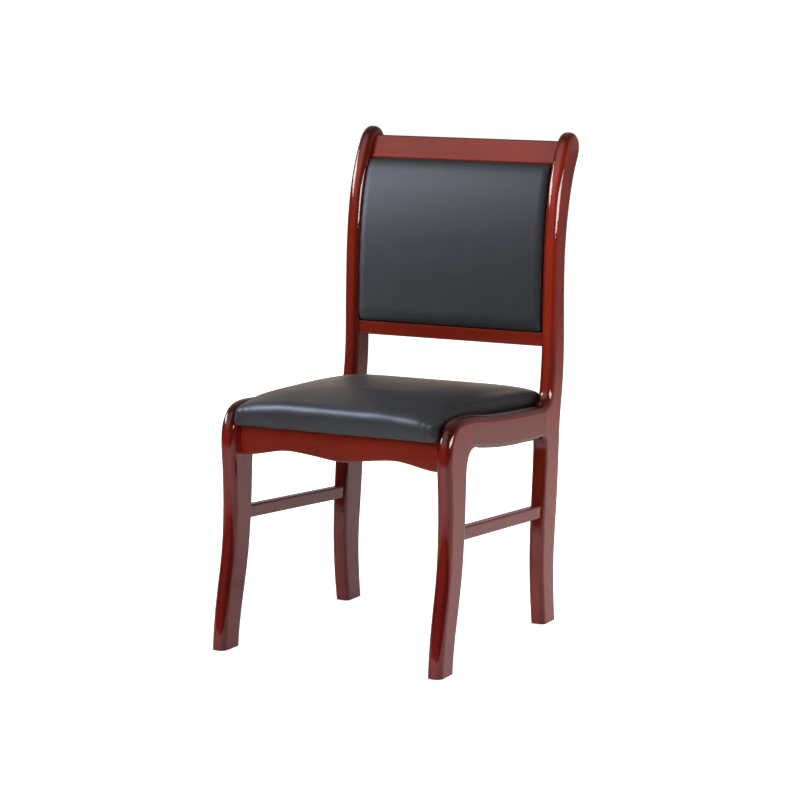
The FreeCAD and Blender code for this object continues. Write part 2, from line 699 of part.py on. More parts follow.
# The cushion's profile as (inset at the sides, inset at the ends, corner radius, rise), less a skin.
# The corners round off towards the top, where the cover is pulled down. The top leans back a little,
# so each ring is tilted by its share of the rise.
def cushion_form(skin):
    edge = size("cushion_edge")
    crown = size("cushion_crown")
    corner = size("cushion_corner")
    profile = [(3, 3, corner, 0), (0.8, 0.8, corner, 0.23 * edge), (0, 0, 1.2 * corner, 0.5 * edge),
               (1, 1.2, 2.4 * corner, 0.77 * edge), (5, 7, 4.6 * corner, 0.97 * edge),
               (16, 30, 6 * corner, edge + 0.27 * crown), (42, 85, 7 * corner, edge + 0.68 * crown),
               (95, 150, 7 * corner, edge + 0.97 * crown)]
    wires = []
    for number, (side_inset, end_inset, radius, rise) in enumerate(profile):
        before = profile[max(number - 1, 0)]
        after = profile[min(number + 1, len(profile) - 1)]
        run = after[0] - before[0]
        climb = after[3] - before[3]
        slope = math.hypot(run, climb)
        inward = skin * climb / slope
        lift = skin if number == 0 else -skin * run / slope
        level = size("cushion_bottom") + rise + lift
        tilt = size("cushion_tilt") * min(rise / edge, 1.0)
        wires.append(seat_ring(side_inset + inward, end_inset + inward, radius, level, tilt))
    return skinned(wires)


cushion_block = solid("cushion_block", cushion_form(0.0))
cushion_core = solid("cushion_core", cushion_form(size("cover_thickness")))
core_bottom = size("cushion_bottom") + size("cover_thickness")
board_slab = box("board_slab", (-size("frame_spacing"), 0, core_bottom - size("seat_board_thickness")),
                 "Sizes.frame_spacing * 2", "Sizes.saw_reach", "Sizes.seat_board_thickness * 2")
seat_board_blank = common("seat_board_blank", cushion_core, board_slab)
nodes["seat_foam"] = cut("seat_foam", cushion_core, [board_slab])
hem_opening = bay("hem_opening", "(Sizes.cushion_gap + Sizes.hem_width)",
                  "Sizes.cushion_front + Sizes.hem_width", "Sizes.cushion_rear - Sizes.hem_width",
                  "Sizes.cushion_bottom - Sizes.cover_thickness",
                  "Sizes.cushion_bottom + Sizes.cover_thickness * 2")
dust_blank = bay("dust_blank", "Sizes.dust_cover_inset", "Sizes.cushion_front + Sizes.dust_cover_setback",
                 "Sizes.cushion_rear - Sizes.dust_cover_setback", "Sizes.bearer_top",
                 "Sizes.bearer_top + Sizes.dust_cover_thickness")
seat_layers = {
    "seat_board": (seat_board_blank, []),
    "seat_cover": (cushion_block, [cushion_core, hem_opening]),
    "seat_dust_cover": (dust_blank, []),
}
for name, (blank, tools) in seat_layers.items():
    holes = [screw_hole("%s_hole_%d" % (name, number), "Sizes.seat_screw_length", place)
             for number, place in enumerate(seat_screw_places)]
    nodes[name] = cut(name, blank, tools + holes)

# Move every piece to the origin, test it and write it
doc.recompute()
to_origin = Placement(Vector(0, -size("depth_middle"), 0), Rotation())
for name, (item, frame) in frame_nodes.items():
    item.Placement = frame
    nodes[name] = item
for name, item in nodes.items():
    item.Label = name
    item.Placement = to_origin * item.Placement
for item in doc.Objects:
    if "Invalid" in item.State or "Error" in item.State:
        raise RuntimeError("failed: " + item.Name)
os.makedirs("parts", exist_ok=True)
whole = FreeCAD.BoundBox()
for name, item in sorted(nodes.items()):
    shape = item.Shape
    if shape.isNull() or not shape.isValid() or not shape.Solids:
        raise RuntimeError("bad shape: " + name)
    shape.exportStep("parts/%s.step" % name)
    bounds = shape.optimalBoundingBox()
    whole.add(bounds)
    print("%-28s solids %2d volume %10.1f" % (name, len(shape.Solids), shape.Volume))
print("box x %.2f %.2f y %.2f %.2f z %.2f %.2f" % (whole.XMin, whole.XMax, whole.YMin, whole.YMax,
                                                   whole.ZMin, whole.ZMax))
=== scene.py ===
import math
import bmesh
import bpy
import numpy as np
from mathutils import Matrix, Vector, noise
from mathutils.bvhtree import BVHTree


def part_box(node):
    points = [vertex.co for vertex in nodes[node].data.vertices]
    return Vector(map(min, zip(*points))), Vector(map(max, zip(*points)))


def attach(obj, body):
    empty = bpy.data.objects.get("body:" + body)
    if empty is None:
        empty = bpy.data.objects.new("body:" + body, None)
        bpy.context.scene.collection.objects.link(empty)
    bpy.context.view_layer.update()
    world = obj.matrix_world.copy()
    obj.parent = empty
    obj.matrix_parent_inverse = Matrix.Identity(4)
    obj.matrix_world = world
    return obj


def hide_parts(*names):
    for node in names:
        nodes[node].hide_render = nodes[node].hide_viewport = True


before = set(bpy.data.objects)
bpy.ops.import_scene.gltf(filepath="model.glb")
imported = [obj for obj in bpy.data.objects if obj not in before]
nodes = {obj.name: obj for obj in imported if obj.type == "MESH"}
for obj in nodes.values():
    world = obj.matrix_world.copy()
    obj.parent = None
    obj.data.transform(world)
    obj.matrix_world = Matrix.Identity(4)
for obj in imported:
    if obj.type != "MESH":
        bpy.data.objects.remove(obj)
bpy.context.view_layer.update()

scene = bpy.context.scene
mm = 0.001
noiseLow, noiseHigh = 0.3, 0.7   # the range that most of a noise lies in
print("frame: %d pieces" % len(nodes))


# Material tools

def fromHex(code):  # sRGB hex to linear
    channels = [int(code[start:start + 2], 16) / 255 for start in (1, 3, 5)]
    linear = [c / 12.92 if c <= 0.04045 else ((c + 0.055) / 1.055) ** 2.4 for c in channels]
    return (*linear, 1.0)


# Sockets go by name or number. Those of a map range are from low 1, from high 2, to low 3 and to high 4.
def addNode(tree, kind, inputs=None, **settings):  # values that are sockets are linked
    made = tree.nodes.new(kind)
    for setting, value in settings.items():
        setattr(made, setting, value)
    for socket, value in (inputs or {}).items():
        if isinstance(value, bpy.types.NodeSocket):
            tree.links.new(value, made.inputs[socket])
        else:
            made.inputs[socket].default_value = value
    return made


def newMaterial(name):
    material = bpy.data.materials.new(name)
    material.use_nodes = True
    material.node_tree.nodes.clear()
    return material, material.node_tree


def finishMaterial(tree, shader):
    addNode(tree, "ShaderNodeOutputMaterial", {"Surface": shader.outputs[0]})


def stretched(tree, across, along=None, grain=2, shift=None):  # pattern size in mm, longer along the grain
    place = addNode(tree, "ShaderNodeTexCoord").outputs["Object"]
    scale = [1 / (across * mm)] * 3
    if along:
        scale[grain] = 1 / (along * mm)
    if shift:
        place = addNode(tree, "ShaderNodeVectorMath", {0: place, 1: shift}, operation="ADD").outputs[0]
    return addNode(tree, "ShaderNodeMapping", {"Vector": place, "Scale": scale}).outputs[0]


# Hardwood, spray stained mahogany red under polyurethane lacquer: a clear hard gloss over faint grain
hardwoodLook = {
    "stain": "#7B2416", "darkStain": "#501208", "lightStain": "#963719",
    "bandWidth": 15, "bandLength": 420,    # mm, growth bands
    "bandTones": (0.32, 0.5, 0.7),         # where the dark, the plain and the light stain lie in a band
    "poreWidth": 2.6, "poreLength": 55,    # mm; real pores are 0.3 mm wide, drawn coarser so that they show
    "poreRange": (0.34, 0.48),             # how much of the pattern is pore
    "poreBump": 0.04, "poreDepth": 0.3,    # mm
    "cloudSize": 90, "cloudDepth": 0.08,   # mm, uneven spraying of the stain, and how far it shifts the tone
    "peelSize": 7, "peelDepth": 0.4,       # mm, ripple that sprayed lacquer sets with
    "peelBump": 0.02,
    "plankShift": (3.1, 1.7, 2.3),         # metres, how far apart in the pattern two boards may lie
    "evenness": 0.84, "poreShade": 0.06,   # how far the stain hides the figure, and how dark the pores show
    "paintedEdgeShade": 0.5, "paintedLevelShade": 0.24,  # painted shade, darker over the rounded edges and the level faces
    "edgeRange": (0.02, 0.2),              # how each painted shade fades in
    "levelSpan": 0.34, "sideRange": (0.8, 0.98),
    "seatTop": 590, "seatFoot": 380,       # mm, heights between which the painted shade below the seat fades out on the posts
    "paintedLowShade": 0.64, "paintedSideShade": 0.52,   # painted shade below the seat, and on the flat sides above it
    "roughness": 0.5, "coatRoughness": 0.04,
}


def lacqueredHardwood(name, board):
    look = hardwoodLook
    grain, tone = board["grain"], board["tone"]
    material, tree = newMaterial(name)
    chance = addNode(tree, "ShaderNodeObjectInfo").outputs["Random"]  # each board is cut from another plank
    shift = addNode(tree, "ShaderNodeVectorMath", {0: chance, 1: look["plankShift"]},
                    operation="MULTIPLY").outputs[0]
    bands = addNode(tree, "ShaderNodeTexNoise", {
        "Vector": stretched(tree, look["bandWidth"], look["bandLength"], grain, shift),
        "Scale": 1.0, "Detail": 3.0, "Roughness": 0.5, "Distortion": 0.6}).outputs["Fac"]
    pores = addNode(tree, "ShaderNodeTexNoise", {
        "Vector": stretched(tree, look["poreWidth"], look["poreLength"], grain, shift),
        "Scale": 1.0, "Detail": 2.0}).outputs["Fac"]
    clouds = addNode(tree, "ShaderNodeTexNoise", {
        "Vector": stretched(tree, look["cloudSize"], shift=shift),
        "Scale": 1.0, "Detail": 1.0}).outputs["Fac"]
    figure = addNode(tree, "ShaderNodeValToRGB", {"Fac": bands})
    ramp = figure.color_ramp
    darkAt, plainAt, lightAt = look["bandTones"]
    ramp.elements[0].position = darkAt
    ramp.elements[0].color = fromHex(look["darkStain"])
    ramp.elements[1].position = lightAt
    ramp.elements[1].color = fromHex(look["lightStain"])
    ramp.elements.new(plainAt).color = fromHex(look["stain"])
    evened = addNode(tree, "ShaderNodeMix", {
        0: look["evenness"], 6: figure.outputs[0], 7: fromHex(look["stain"])}, data_type="RGBA").outputs[2]
    poreLow, poreHigh = look["poreRange"]
    poreShade = addNode(tree, "ShaderNodeMapRange", {
        "Value": pores, 1: poreLow, 2: poreHigh, 3: look["poreShade"], 4: 0.0}).outputs[0]
    filled = addNode(tree, "ShaderNodeMix", {0: poreShade, 6: evened, 7: fromHex(look["darkStain"])},
                     data_type="RGBA").outputs[2]
    thin, thick = (1 - look["cloudDepth"]) * tone, (1 + look["cloudDepth"]) * tone
    cloudShade = addNode(tree, "ShaderNodeMapRange", {
        "Value": clouds, 1: noiseLow, 2: noiseHigh, 3: thin, 4: thick}).outputs[0]
    height = addNode(tree, "ShaderNodeSeparateXYZ", {0: stretched(tree, 1)}).outputs["Z"]
    # Painted shade: the wood darker below the seat
    paintedLowShade = addNode(tree, "ShaderNodeMapRange", {
        "Value": height, 1: look["seatTop"], 2: look["seatFoot"], 3: 1.0, 4: look["paintedLowShade"]}).outputs[0]
    facing = addNode(tree, "ShaderNodeSeparateXYZ", {
        0: addNode(tree, "ShaderNodeNewGeometry").outputs["Normal"]}).outputs
    # Painted shade: faces that look up or down are darker than upright ones
    steepness = addNode(tree, "ShaderNodeMath", {0: facing["Z"]}, operation="ABSOLUTE").outputs[0]
    levelFrom, levelTo = board["level"], board["level"] + look["levelSpan"]
    paintedLevelShade = addNode(tree, "ShaderNodeMapRange", {
        "Value": steepness, 1: levelFrom, 2: levelTo, 3: 1.0, 4: look["paintedLevelShade"]}).outputs[0]
    sideways = addNode(tree, "ShaderNodeMath", {0: facing["X"], 1: 2.0}, operation="POWER").outputs[0]
    inward = addNode(tree, "ShaderNodeMath", {0: 1.0, 1: sideways}, operation="SUBTRACT").outputs[0]
    rounding = addNode(tree, "ShaderNodeMath", {0: sideways, 1: inward}, operation="MULTIPLY").outputs[0]
    # Painted shade: the rounded edges darker, or paler where a board's edge tone is over 1, a painted
    # highlight
    edgeFrom, edgeTo = look["edgeRange"]
    edgeTone = board.get("edge", look["paintedEdgeShade"])
    paintedEdgeShade = addNode(tree, "ShaderNodeMapRange", {
        "Value": rounding, 1: edgeFrom, 2: edgeTo, 3: 1.0, 4: edgeTone}).outputs[0]
    # Painted shade: the flat sides of the posts darker above the seat
    sideDepth = addNode(tree, "ShaderNodeMapRange", {
        "Value": height, 1: look["seatFoot"], 2: look["seatTop"],
        3: 0.0, 4: 1 - look["paintedSideShade"]}).outputs[0]
    sideFrom, sideTo = look["sideRange"]
    flatSide = addNode(tree, "ShaderNodeMapRange", {
        "Value": sideways, 1: sideFrom, 2: sideTo, 3: 0.0, 4: 1.0}).outputs[0]
    sideLoss = addNode(tree, "ShaderNodeMath", {0: sideDepth, 1: flatSide}, operation="MULTIPLY").outputs[0]
    paintedSideShade = addNode(tree, "ShaderNodeMath", {0: 1.0, 1: sideLoss}, operation="SUBTRACT").outputs[0]
    # the painted shades multiply the stain's tone
    shade = cloudShade
    for paintedShade in (paintedLowShade, paintedSideShade, paintedLevelShade, paintedEdgeShade):
        shade = addNode(tree, "ShaderNodeMath", {0: shade, 1: paintedShade}, operation="MULTIPLY").outputs[0]
    colour = addNode(tree, "ShaderNodeHueSaturation", {
        "Color": filled, "Hue": board["hue"], "Value": shade}).outputs[0]
    peel = addNode(tree, "ShaderNodeTexNoise", {
        "Vector": stretched(tree, look["peelSize"], shift=shift), "Scale": 1.0, "Detail": 1.0}).outputs["Fac"]
    grainBump = addNode(tree, "ShaderNodeBump", {
        "Height": pores, "Strength": look["poreBump"], "Distance": look["poreDepth"] * mm})
    peelBump = addNode(tree, "ShaderNodeBump", {
        "Height": peel, "Strength": look["peelBump"], "Distance": look["peelDepth"] * mm})
    shader = addNode(tree, "ShaderNodeBsdfPrincipled", {  # only the lacquer shines, not the wood below it
        "Base Color": colour, "Roughness": look["roughness"], "IOR": 1.5, "Specular IOR Level": 0.0,
        "Coat Weight": 1.0, "Coat Roughness": look["coatRoughness"], "Coat IOR": 1.5,
        "Normal": grainBump.outputs[0], "Coat Normal": peelBump.outputs[0]})
    finishMaterial(tree, shader)
    return material


# Raw beech, planed: pale pinkish wood with short brown flecks and no finish
beechLook = {
    "wood": "#C9A070", "fleck": "#A87648", "roughness": 0.68,
    "fleckWidth": 1.4, "fleckLength": 9,            # mm
    "fleckRange": (0.5, 0.75), "fleckShade": 0.8,   # how much of the pattern is fleck, and how dark
    "bump": 0.25, "bumpDepth": 0.2,                 # mm
}


def rawBeech():
    look = beechLook
    material, tree = newMaterial("raw_beech")
    flecks = addNode(tree, "ShaderNodeTexNoise", {
        "Vector": stretched(tree, look["fleckWidth"], look["fleckLength"], 0),
        "Scale": 1.0, "Detail": 3.0}).outputs["Fac"]
    fleckFrom, fleckTo = look["fleckRange"]
    amount = addNode(tree, "ShaderNodeMapRange", {
        "Value": flecks, 1: fleckFrom, 2: fleckTo, 3: 0.0, 4: look["fleckShade"]}).outputs[0]
    colour = addNode(tree, "ShaderNodeMix", {0: amount, 6: fromHex(look["wood"]), 7: fromHex(look["fleck"])},
                     data_type="RGBA").outputs[2]
    bump = addNode(tree, "ShaderNodeBump", {
        "Height": flecks, "Strength": look["bump"], "Distance": look["bumpDepth"] * mm})
    finishMaterial(tree, addNode(tree, "ShaderNodeBsdfPrincipled", {
        "Base Color": colour, "Roughness": look["roughness"], "IOR": 1.5, "Normal": bump.outputs[0]}))
    return material


# Poplar plywood: pale faces with a broad figure, and thin brown glue lines on the edges
plywoodLook = {
    "wood": "#C8A878", "figure": "#A98555", "glue": "#6B4A2C", "roughness": 0.72,
    "figureWidth": 22, "figureLength": 260, "swirl": 1.2,   # mm
    "ply": 1.6, "glueShare": 0.14,   # mm, and the share of a ply that its glue line takes
    "edgeSlope": 0.5,                # faces that look up or down by less than this are edges
}


def poplarPlywood():
    look = plywoodLook
    material, tree = newMaterial("poplar_plywood")
    figure = addNode(tree, "ShaderNodeTexNoise", {
        "Vector": stretched(tree, look["figureWidth"], look["figureLength"], 1), "Scale": 1.0, "Detail": 4.0,
        "Distortion": look["swirl"]}).outputs["Fac"]
    face = addNode(tree, "ShaderNodeMix", {0: figure, 6: fromHex(look["wood"]), 7: fromHex(look["figure"])},
                   data_type="RGBA").outputs[2]
    height = addNode(tree, "ShaderNodeSeparateXYZ", {0: stretched(tree, look["ply"])}).outputs["Z"]
    layer = addNode(tree, "ShaderNodeMath", {0: height, 1: 1.0}, operation="FLOORED_MODULO").outputs[0]
    line = addNode(tree, "ShaderNodeMath", {0: layer, 1: look["glueShare"]}, operation="LESS_THAN").outputs[0]
    facing = addNode(tree, "ShaderNodeSeparateXYZ", {
        0: addNode(tree, "ShaderNodeNewGeometry").outputs["Normal"]}).outputs["Z"]
    upright = addNode(tree, "ShaderNodeMath", {0: facing}, operation="ABSOLUTE").outputs[0]
    edge = addNode(tree, "ShaderNodeMath", {0: upright, 1: look["edgeSlope"]},
                   operation="LESS_THAN").outputs[0]
    glue = addNode(tree, "ShaderNodeMath", {0: line, 1: edge}, operation="MULTIPLY").outputs[0]
    colour = addNode(tree, "ShaderNodeMix", {0: glue, 6: face, 7: fromHex(look["glue"])},
                     data_type="RGBA").outputs[2]
    finishMaterial(tree, addNode(tree, "ShaderNodeBsdfPrincipled", {
        "Base Color": colour, "Roughness": look["roughness"], "IOR": 1.5}))
    return material


# PVC leatherette, embossed with a fine hide grain: charcoal with a satin sheen
leatheretteLook = {
    "colour": "#202124", "worn": "#26272B",
    "grain": 2.4,                             # mm; a real pebble is about 1 mm, drawn coarser to show
    "undulation": 38,                         # mm, softness of the padding below
    "pebbleBump": 0.1, "pebbleDepth": 0.25,   # mm
    "softBump": 0.025, "softDepth": 1.5,      # mm
    "roughness": 0.48, "glossSpread": 0.015,
}


def pvcLeatherette():
    look = leatheretteLook
    material, tree = newMaterial("pvc_leatherette")
    pebble = addNode(tree, "ShaderNodeTexVoronoi", {
        "Vector": stretched(tree, look["grain"]), "Scale": 1.0, "Randomness": 1.0},
        feature="F1").outputs["Distance"]
    undulation = addNode(tree, "ShaderNodeTexNoise", {
        "Vector": stretched(tree, look["undulation"]), "Scale": 1.0, "Detail": 2.0}).outputs["Fac"]
    colour = addNode(tree, "ShaderNodeMix", {
        0: undulation, 6: fromHex(look["colour"]), 7: fromHex(look["worn"])}, data_type="RGBA").outputs[2]
    shiny, dull = look["roughness"] - look["glossSpread"], look["roughness"] + look["glossSpread"]
    gloss = addNode(tree, "ShaderNodeMapRange", {
        "Value": undulation, 1: noiseLow, 2: noiseHigh, 3: shiny, 4: dull}).outputs[0]
    soft = addNode(tree, "ShaderNodeBump", {
        "Height": undulation, "Strength": look["softBump"], "Distance": look["softDepth"] * mm})
    bump = addNode(tree, "ShaderNodeBump", {
        "Height": pebble, "Strength": look["pebbleBump"], "Distance": look["pebbleDepth"] * mm,
        "Normal": soft.outputs[0]}, invert=True)
    finishMaterial(tree, addNode(tree, "ShaderNodeBsdfPrincipled", {
        "Base Color": colour, "Roughness": gloss, "IOR": 1.5, "Normal": bump.outputs[0]}))
    return material


# Spun-bonded polypropylene: a thin black cloth that is dull and dimpled by its bonding dots
dustClothLook = {
    "colour": "#141415", "roughness": 0.92, "sheen": 0.2,
    "dot": 2.6, "fibre": 0.9,        # mm
    "fibreShades": (0.7, 1.5),       # of the darkest and the palest fibres
    "bump": 0.5, "bumpDepth": 0.3,   # mm
}


def spunPolypropylene():
    look = dustClothLook
    material, tree = newMaterial("spun_polypropylene")
    dots = addNode(tree, "ShaderNodeTexVoronoi", {
        "Vector": stretched(tree, look["dot"]), "Scale": 1.0, "Randomness": 0.0},
        feature="F1").outputs["Distance"]
    fibres = addNode(tree, "ShaderNodeTexNoise", {
        "Vector": stretched(tree, look["fibre"]), "Scale": 1.0, "Detail": 3.0}).outputs["Fac"]
    darkest, palest = look["fibreShades"]
    shade = addNode(tree, "ShaderNodeMapRange", {
        "Value": fibres, 1: noiseLow, 2: noiseHigh, 3: darkest, 4: palest}).outputs[0]
    colour = addNode(tree, "ShaderNodeHueSaturation", {
        "Color": fromHex(look["colour"]), "Value": shade}).outputs[0]
    bump = addNode(tree, "ShaderNodeBump", {
        "Height": dots, "Strength": look["bump"], "Distance": look["bumpDepth"] * mm})
    finishMaterial(tree, addNode(tree, "ShaderNodeBsdfPrincipled", {
        "Base Color": colour, "Roughness": look["roughness"], "IOR": 1.49, "Sheen Weight": look["sheen"],
        "Normal": bump.outputs[0]}))
    return material


# Zinc-plated steel: a pale metal with faintly blue and straw patches
zincLook = {"zinc": "#C4C6C8", "straw": "#C9BE9C", "patch": 3, "roughness": 0.34, "glossSpread": 0.08}   # mm


def zincPlatedSteel():
    look = zincLook
    material, tree = newMaterial("zinc_plated_steel")
    patches = addNode(tree, "ShaderNodeTexNoise", {
        "Vector": stretched(tree, look["patch"]), "Scale": 1.0, "Detail": 2.0}).outputs["Fac"]
    colour = addNode(tree, "ShaderNodeMix", {0: patches, 6: fromHex(look["zinc"]), 7: fromHex(look["straw"])},
                     data_type="RGBA").outputs[2]
    shiny, dull = look["roughness"] - look["glossSpread"], look["roughness"] + look["glossSpread"]
    gloss = addNode(tree, "ShaderNodeMapRange", {
        "Value": patches, 1: noiseLow, 2: noiseHigh, 3: shiny, 4: dull}).outputs[0]
    finishMaterial(tree, addNode(tree, "ShaderNodeBsdfPrincipled", {
        "Base Color": colour, "Metallic": 1.0, "Roughness": gloss}))
    return material


# Nylon, moulded: dark brown and dull, scuffed paler where it slides
nylonLook = {
    "colour": "#2A211D", "scuff": "#5B4F48", "roughness": 0.5,
    "scratchWidth": 0.7, "scratchLength": 12,       # mm
    "scuffRange": (0.55, 0.8), "scuffShade": 0.7,   # how much of the pattern is scuffed, and how strongly
}


def mouldedNylon():
    look = nylonLook
    material, tree = newMaterial("moulded_nylon")
    scratches = addNode(tree, "ShaderNodeTexNoise", {
        "Vector": stretched(tree, look["scratchWidth"], look["scratchLength"], 1),
        "Scale": 1.0, "Detail": 2.0}).outputs["Fac"]
    scuffFrom, scuffTo = look["scuffRange"]
    amount = addNode(tree, "ShaderNodeMapRange", {
        "Value": scratches, 1: scuffFrom, 2: scuffTo, 3: 0.0, 4: look["scuffShade"]}).outputs[0]
    colour = addNode(tree, "ShaderNodeMix", {
        0: amount, 6: fromHex(look["colour"]), 7: fromHex(look["scuff"])}, data_type="RGBA").outputs[2]
    finishMaterial(tree, addNode(tree, "ShaderNodeBsdfPrincipled", {
        "Base Color": colour, "Roughness": look["roughness"], "IOR": 1.53}))
    return material


# Boards: grain axis, tone, which also carries painted light and shade (the right post lighter, the left post
# and the sides darker), how level a face is where the painted shade sets in, and hue, 0.5 being the stain's
# own
boards = {
    "legs": {"grain": 2, "tone": 0.97, "level": 0.16, "hue": 0.495},
    "left_post": {"grain": 2, "tone": 0.9, "level": 0.36, "hue": 0.499},
    "right_post": {"grain": 2, "tone": 1.14, "level": 0.36, "hue": 0.5},
    "crest": {"grain": 0, "tone": 1.1, "level": 0.38, "hue": 0.5},
    "rails": {"grain": 0, "tone": 1.0, "level": 0.36, "hue": 0.5},
    "sides": {"grain": 1, "tone": 0.8, "level": 0.3, "hue": 0.497},
    "rungs": {"grain": 1, "tone": 0.8, "level": 1.0, "hue": 0.497, "edge": 1.3},   # painted highlight, the rounded edges paler
}
hardwood = {name: lacqueredHardwood("lacquered_hardwood_" + name, board) for name, board in boards.items()}
leatherette = pvcLeatherette()
beech = rawBeech()
plywood = poplarPlywood()
zinc = zincPlatedSteel()
nylon = mouldedNylon()
dustCloth = spunPolypropylene()
nodeFinishes = {  # by the start of a node's name, of which the longest counts
    "front_leg": hardwood["legs"], "side_rail": hardwood["sides"], "side_stretcher": hardwood["rungs"],
    "rear_upright_left": hardwood["left_post"], "rear_upright_right": hardwood["right_post"],
    "front_apron": hardwood["rails"], "rear_seat_rail": hardwood["rails"],
    "crest_rail": hardwood["crest"], "lower_back_rail": hardwood["rails"],
    "corner_block": beech, "apron_dowels": beech, "rear_rail_dowels": beech,
    "crest_rail_dowels": beech, "lower_rail_dowels": beech, "seat_board": plywood, "back_board": plywood,
    "corner_block_screws": zinc, "seat_screws": zinc, "foot_glide": nylon,
}
for nodeName, piece in nodes.items():
    starts = [start for start in nodeFinishes if nodeName.startswith(start)]
    if starts:
        piece.data.materials.clear()
        piece.data.materials.append(nodeFinishes[max(starts, key=len)])
print("materials: %d" % len(bpy.data.materials))


# Soft pieces

def bake(piece):  # applies the modifiers
    made = bpy.data.meshes.new_from_object(piece.evaluated_get(bpy.context.evaluated_depsgraph_get()))
    piece.modifiers.clear()
    piece.data = made


def meshObject(name, points, faces):
    mesh = bpy.data.meshes.new(name)
    mesh.from_pydata(points, [], faces)
    mesh.update()
    piece = bpy.data.objects.new(name, mesh)
    scene.collection.objects.link(piece)
    return piece


def skinOf(name, nodeNames, voxel):  # one closed skin round these solids
    gathered = bmesh.new()
    for nodeName in nodeNames:
        gathered.from_mesh(nodes[nodeName].data)
    mesh = bpy.data.meshes.new(name)
    gathered.to_mesh(mesh)
    gathered.free()
    piece = bpy.data.objects.new(name, mesh)
    scene.collection.objects.link(piece)
    remesh = piece.modifiers.new("skin", "REMESH")
    remesh.mode = "VOXEL"
    remesh.voxel_size = voxel * mm
    bake(piece)
    return piece


def relax(piece, rounds, chosen=lambda point: True):
    shape = bmesh.new()
    shape.from_mesh(piece.data)
    loose = [vertex for vertex in shape.verts if chosen(vertex.co)]
    for _ in range(rounds):
        bmesh.ops.smooth_vert(shape, verts=loose, factor=0.5,
                              use_axis_x=True, use_axis_y=True, use_axis_z=True)
    shape.to_mesh(piece.data)
    shape.free()


def spread(steps, edges, rounds):  # evens out a field of movements over the mesh
    count = np.bincount(edges.ravel(), minlength=len(steps))[:, None] + 1
    for _ in range(rounds):
        total = steps.copy()
        np.add.at(total, edges[:, 0], steps[edges[:, 1]])
        np.add.at(total, edges[:, 1], steps[edges[:, 0]])
        steps = total / count
    return steps


def coordinates(vertices):
    flat = np.empty(len(vertices) * 3, np.float32)
    vertices.foreach_get("co", flat)
    return flat.reshape(-1, 3).astype(float)


def inflate(piece, held, look):  # held gives how firmly each point is fixed, 0 to 1
    group = piece.vertex_groups.new(name="held")
    for vertex in piece.data.vertices:
        group.add([vertex.index], held(vertex.co), "REPLACE")
    cloth = piece.modifiers.new("padding", "CLOTH")
    cloth.settings.use_pressure = True
    cloth.settings.uniform_pressure_force = look["pressure"]
    cloth.settings.vertex_group_mass = "held"
    cloth.settings.effector_weights.gravity = 0
    cloth.point_cache.frame_end = look["frames"]
    for number in range(1, look["frames"] + 1):
        scene.frame_set(number)
    rest = coordinates(piece.data.vertices)
    swollen = piece.evaluated_get(bpy.context.evaluated_depsgraph_get()).to_mesh()
    steps = coordinates(swollen.vertices) - rest
    piece.modifiers.clear()
    piece.vertex_groups.clear()
    scene.frame_set(1)
    edges = np.array([edge.vertices[:] for edge in piece.data.edges])
    swell = spread(steps, edges, look["evening"])
    steps = swell + look["wrinkles"] * (steps - swell)
    low, high = [np.array(limit) * mm for limit in look["cap"]]
    piece.data.vertices.foreach_set("co", (rest + np.clip(steps, low, high)).ravel())
    piece.data.update()


def outside(nodeName):  # the faces of a shell that look outwards with nothing in front of them
    solid = nodes[nodeName].data
    points = [vertex.co for vertex in solid.vertices]
    whole = BVHTree.FromPolygons(points, [polygon.vertices for polygon in solid.polygons])
    step = 0.1 * mm   # off the face, which would otherwise be hit itself
    clear = [polygon.vertices for polygon in solid.polygons
             if whole.ray_cast(polygon.center + polygon.normal * step, polygon.normal)[0] is None]
    return BVHTree.FromPolygons(points, clear)


def keepFull(piece, skin):  # no point lies inside the solid that the piece stands for
    for vertex in piece.data.vertices:
        nearest, normal, _, _ = skin.find_nearest(vertex.co)
        if (vertex.co - nearest).dot(normal) < 0:
            vertex.co = nearest


def eased(share):  # 0 to 1, gentle at both ends
    share = min(max(share, 0), 1)
    return share * share * (3 - 2 * share)


def plump(piece, low, high, look):  # stuffing lifts the top between the corners, which stay pulled down
    for vertex in piece.data.vertices:
        x, y, z = vertex.co
        fromFront = (y - low.y) / mm
        fromSide = (high.x - abs(x)) / mm
        corner = math.hypot(fromSide, fromFront)
        lift = look["lift"] * eased(corner / look["cornerPull"]) * eased((high.y - y) / mm / look["rearPull"])
        vertex.co.z += lift * eased((z - low.z) / mm / look["liftFrom"]) * mm
        belly = math.sin(math.pi * min(max((z - low.z) / mm / look["bellyHeight"], 0), 1))
        belly *= eased(1 - fromFront / look["bellyDepth"]) * eased(fromSide / look["bellyDepth"])
        vertex.co.y -= look["belly"] * belly * mm


def treeOf(nodeName):
    solid = nodes[nodeName].data
    return BVHTree.FromPolygons([vertex.co for vertex in solid.vertices],
                                [polygon.vertices for polygon in solid.polygons])


def fillSides(piece, level, look):  # the sides swell until they almost touch the frame, as found at one level
    walls = [treeOf(nodeName) for nodeName in nodes if nodeName.startswith(look["walls"])]
    rest = coordinates(piece.data.vertices)
    steps = np.zeros_like(rest)
    for vertex in piece.data.vertices:
        x, y, _ = vertex.co
        turn = vertex.normal.x
        if abs(turn) < look["sideFacing"]:
            continue
        way = Vector((math.copysign(1, turn), 0, 0))
        hits = [wall.ray_cast(Vector((x, y, level)), way, look["sideReach"] * mm) for wall in walls]
        room = min([hit[3] / mm for hit in hits if hit[0] is not None], default=0)
        steps[vertex.index, 0] = turn * min(max(room - look["sideClear"], 0), look["sideSwell"]) * mm
    edges = np.array([edge.vertices[:] for edge in piece.data.edges])
    steps = spread(steps, edges, look["sideEvening"])
    piece.data.vertices.foreach_set("co", (rest + steps).ravel())
    piece.data.update()


